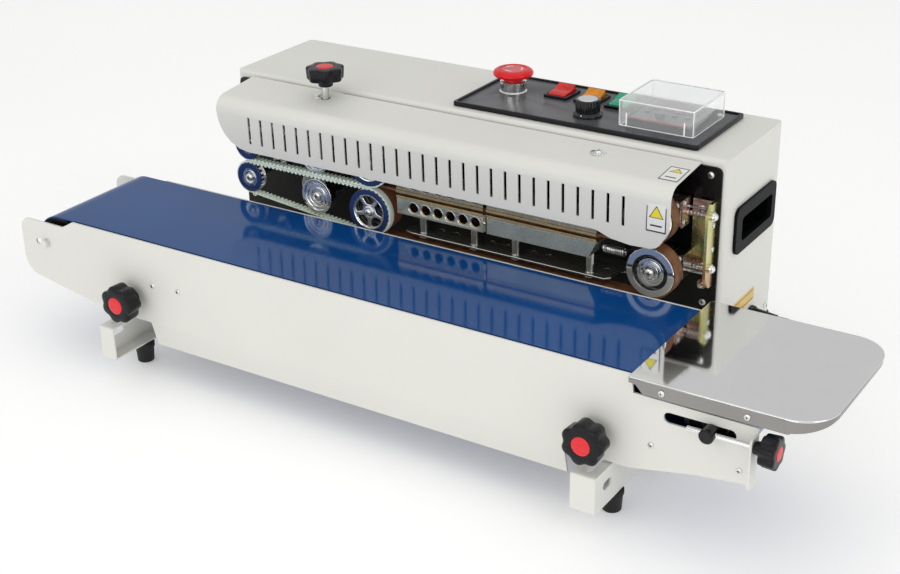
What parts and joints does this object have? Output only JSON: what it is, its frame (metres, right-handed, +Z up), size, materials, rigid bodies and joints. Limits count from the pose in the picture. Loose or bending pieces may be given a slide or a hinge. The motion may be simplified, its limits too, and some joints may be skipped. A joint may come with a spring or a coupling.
{
  "type": "continuous band sealer",
  "caption": "Bench-top continuous band sealer: white cabinet with slotted guard, sealing bands, heating and cooling blocks and a blue belt conveyor on two arms.",
  "frame": {"origin": "middle of the footprint of the whole machine without its cord, at the level the feet rest on", "axes": "+X along the conveyor towards the end where bags are fed in, +Y towards the cabinet's back, +Z up"},
  "size_m": [0.878, 0.4874, 0.29],
  "materials": {
    "cream_paint": "warm white powder coat, fine satin",
    "black_paint": "black satin paint",
    "black_plastic": "black moulded plastic",
    "steel": "machined steel",
    "mirror_steel": "polished stainless steel",
    "zinc": "yellow zinc plated steel",
    "brass": "machined brass",
    "aluminium": "machined aluminium",
    "blue_anodised": "blue anodised flanges",
    "rubber": "black rubber",
    "silicone_red": "reddish brown silicone tyre",
    "ptfe_band": "brown PTFE coated glass-cloth band",
    "pale_belt": "pale green polyurethane toothed belt",
    "blue_belt": "glossy blue PVC conveyor belt",
    "red_plastic": "red moulded plastic",
    "amber_plastic": "amber translucent plastic",
    "green_plastic": "green translucent plastic",
    "clear_plastic": "clear acrylic"
  },
  "bodies": {
    "cabinet": {"cabinet_shell": "cream_paint", "front_plate": "black_paint", "base_plate": "steel", "side_handle": "black_plastic", "control_panel": "black_plastic", "guard_cover": "cream_paint", "gear_motor": "aluminium", "lower_cooling_block": "aluminium", "lower_heating_block": "brass", "upper_cooling_block": "aluminium", "upper_heating_block": "brass", "block_shelf": "mirror_steel", "tension_bracket": "zinc", "lower_sealing_band": "ptfe_band", "upper_sealing_band": "ptfe_band", "lower_guide_belt": "pale_belt", "upper_guide_belt": "pale_belt", "left_arm": "cream_paint", "right_arm": "cream_paint", "left_front_foot": "rubber", "left_rear_foot": "rubber", "right_front_foot": "rubber", "right_rear_foot": "rubber", "cord_gland": "black_plastic", "mains_cord": "rubber", "cord_coil": "rubber", "mains_plug": "black_plastic"},
    "lower_drive": {"lower_drive_pulley": "blue_anodised", "lower_drive_wheel": "silicone_red"},
    "upper_drive": {"upper_drive_pulley": "blue_anodised", "upper_drive_wheel": "silicone_red"},
    "lower_idler": {"lower_idle_pulley": "blue_anodised"},
    "upper_idler": {"upper_idle_pulley": "blue_anodised"},
    "lower_press": {"lower_press_wheel": "steel"},
    "lift": {"press_lift": "steel"},
    "upper_press": {"upper_press_wheel": "steel"},
    "pressure_screw": {"pressure_knob": "black_plastic"},
    "lower_carrier": {"lower_band_carrier": "steel"},
    "upper_carrier": {"upper_band_carrier": "steel"},
    "lower_wheel": {"lower_band_wheel": "steel"},
    "upper_wheel": {"upper_band_wheel": "steel"},
    "carriage": {"left_clamp_bracket": "cream_paint", "right_clamp_bracket": "cream_paint"},
    "conveyor": {"conveyor_front_plate": "cream_paint", "conveyor_rear_plate": "cream_paint", "conveyor_bed": "steel", "conveyor_belt": "blue_belt", "feed_tray": "mirror_steel"},
    "exit_roll": {"exit_roller": "black_plastic"},
    "feed_axle": {"feed_roller_axle": "black_paint"},
    "feed_roll": {"feed_roller": "black_plastic"},
    "tension_screw": {"tension_knob": "black_plastic"},
    "left_clamp": {"left_clamp_knob": "black_plastic"},
    "right_clamp": {"right_clamp_knob": "black_plastic"},
    "stop": {"stop_button": "red_plastic"},
    "red_rocker": {"red_switch": "red_plastic"},
    "amber_rocker": {"amber_switch": "amber_plastic"},
    "green_rocker": {"green_switch": "green_plastic"},
    "dial": {"speed_dial": "black_plastic"},
    "meter_cover": {"controller_cover": "clear_plastic"}
  },
  "joints": [
    {"name": "drive_spin", "type": "hinge", "parent": "cabinet", "child": "lower_drive", "pos_m": [-0.103, 0.0185, 0.1585], "axis": [0, 1, 0], "continuous": true},
    {"name": "upper_drive_spin", "type": "hinge", "parent": "cabinet", "child": "upper_drive", "pos_m": [-0.103, 0.0185, 0.2105], "axis": [0, 1, 0], "continuous": true},
    {"name": "lower_idler_spin", "type": "hinge", "parent": "cabinet", "child": "lower_idler", "pos_m": [-0.257, 0.0035, 0.1665], "axis": [0, 1, 0], "continuous": true},
    {"name": "upper_idler_spin", "type": "hinge", "parent": "cabinet", "child": "upper_idler", "pos_m": [-0.257, 0.0035, 0.2025], "axis": [0, 1, 0], "continuous": true},
    {"name": "lower_press_spin", "type": "hinge", "parent": "cabinet", "child": "lower_press", "pos_m": [-0.169, 0.0035, 0.1624], "axis": [0, 1, 0], "continuous": true},
    {"name": "press_lift_slide", "type": "slide", "parent": "cabinet", "child": "lift", "axis": [0, 0, 1], "range_m": [0, 0.0008]},
    {"name": "upper_press_spin", "type": "hinge", "parent": "lift", "child": "upper_press", "pos_m": [-0.169, 0.0035, 0.2066], "axis": [0, 1, 0], "continuous": true},
    {"name": "pressure_turn", "type": "hinge", "parent": "cabinet", "child": "pressure_screw", "pos_m": [-0.181, 0.0385, 0.276], "axis": [0, 0, 1], "range_deg": [0, 216]},
    {"name": "lower_tension_slide", "type": "slide", "parent": "cabinet", "child": "lower_carrier", "axis": [1, 0, 0], "range_m": [-0.004, 0], "stiffness_N_per_m": 1500},
    {"name": "upper_tension_slide", "type": "slide", "parent": "cabinet", "child": "upper_carrier", "axis": [1, 0, 0], "range_m": [-0.004, 0], "stiffness_N_per_m": 1500},
    {"name": "lower_wheel_spin", "type": "hinge", "parent": "lower_carrier", "child": "lower_wheel", "pos_m": [0.206, 0.0165, 0.1585], "axis": [0, 1, 0], "continuous": true},
    {"name": "upper_wheel_spin", "type": "hinge", "parent": "upper_carrier", "child": "upper_wheel", "pos_m": [0.201, 0.0165, 0.2105], "axis": [0, 1, 0], "continuous": true},
    {"name": "conveyor_reach", "type": "slide", "parent": "cabinet", "child": "carriage", "axis": [0, 1, 0], "range_m": [-0.02, 0.006]},
    {"name": "conveyor_height", "type": "slide", "parent": "carriage", "child": "conveyor", "axis": [0, 0, 1], "range_m": [0, 0.02]},
    {"name": "exit_roller_spin", "type": "hinge", "parent": "conveyor", "child": "exit_roll", "pos_m": [-0.388, -0.0875, 0.1182], "axis": [0, 1, 0], "continuous": true},
    {"name": "feed_axle_slide", "type": "slide", "parent": "conveyor", "child": "feed_axle", "axis": [1, 0, 0], "range_m": [-0.0051, 0]},
    {"name": "feed_roller_spin", "type": "hinge", "parent": "feed_axle", "child": "feed_roll", "pos_m": [0.345, -0.0875, 0.1182], "axis": [0, 1, 0], "continuous": true},
    {"name": "belt_tension_turn", "type": "hinge", "parent": "conveyor", "child": "tension_screw", "pos_m": [0.392, -0.1665, 0.1182], "axis": [1, 0, 0], "range_deg": [-1440, 0]},
    {"name": "left_clamp_turn", "type": "hinge", "parent": "conveyor", "child": "left_clamp", "pos_m": [-0.285, -0.1765, 0.086], "axis": [0, 1, 0], "range_deg": [-540, 0]},
    {"name": "right_clamp_turn", "type": "hinge", "parent": "conveyor", "child": "right_clamp", "pos_m": [0.2405, -0.1765, 0.086], "axis": [0, 1, 0], "range_deg": [-540, 0]},
    {"name": "stop_press", "type": "slide", "parent": "cabinet", "child": "stop", "axis": [0, 0, -1], "range_m": [0, 0.004]},
    {"name": "red_rock", "type": "hinge", "parent": "cabinet", "child": "red_rocker", "pos_m": [0.0375, 0.1455, 0.2634], "axis": [-1, 0, 0], "range_deg": [0, 16]},
    {"name": "amber_rock", "type": "hinge", "parent": "cabinet", "child": "amber_rocker", "pos_m": [0.0715, 0.1455, 0.2634], "axis": [-1, 0, 0], "range_deg": [0, 16]},
    {"name": "green_rock", "type": "hinge", "parent": "cabinet", "child": "green_rocker", "pos_m": [0.1055, 0.1455, 0.2634], "axis": [-1, 0, 0], "range_deg": [0, 16]},
    {"name": "dial_turn", "type": "hinge", "parent": "cabinet", "child": "dial", "pos_m": [0.09, 0.1015, 0.27], "axis": [0, 0, 1], "range_deg": [-150, 150]},
    {"name": "cover_lift", "type": "hinge", "parent": "cabinet", "child": "meter_cover", "pos_m": [0.1685, 0.161, 0.2641], "axis": [-1, 0, 0], "range_deg": [0, 80]}
  ],
  "couplings": [
    {"joint": "upper_drive_spin", "follows": "drive_spin", "ratio": -1},
    {"joint": "lower_idler_spin", "follows": "drive_spin", "ratio": 1.4908},
    {"joint": "upper_idler_spin", "follows": "drive_spin", "ratio": -1.4908},
    {"joint": "lower_press_spin", "follows": "drive_spin", "ratio": 1.3065},
    {"joint": "upper_press_spin", "follows": "drive_spin", "ratio": -1.3065},
    {"joint": "lower_wheel_spin", "follows": "drive_spin", "ratio": 1},
    {"joint": "upper_wheel_spin", "follows": "drive_spin", "ratio": -1},
    {"joint": "exit_roller_spin", "follows": "drive_spin", "ratio": 0.86},
    {"joint": "feed_roller_spin", "follows": "drive_spin", "ratio": 0.86},
    {"joint": "press_lift_slide", "follows": "pressure_turn", "m_per_rad": 0.00019894},
    {"joint": "feed_axle_slide", "follows": "belt_tension_turn", "m_per_rad": 0.00019894}
  ]
}
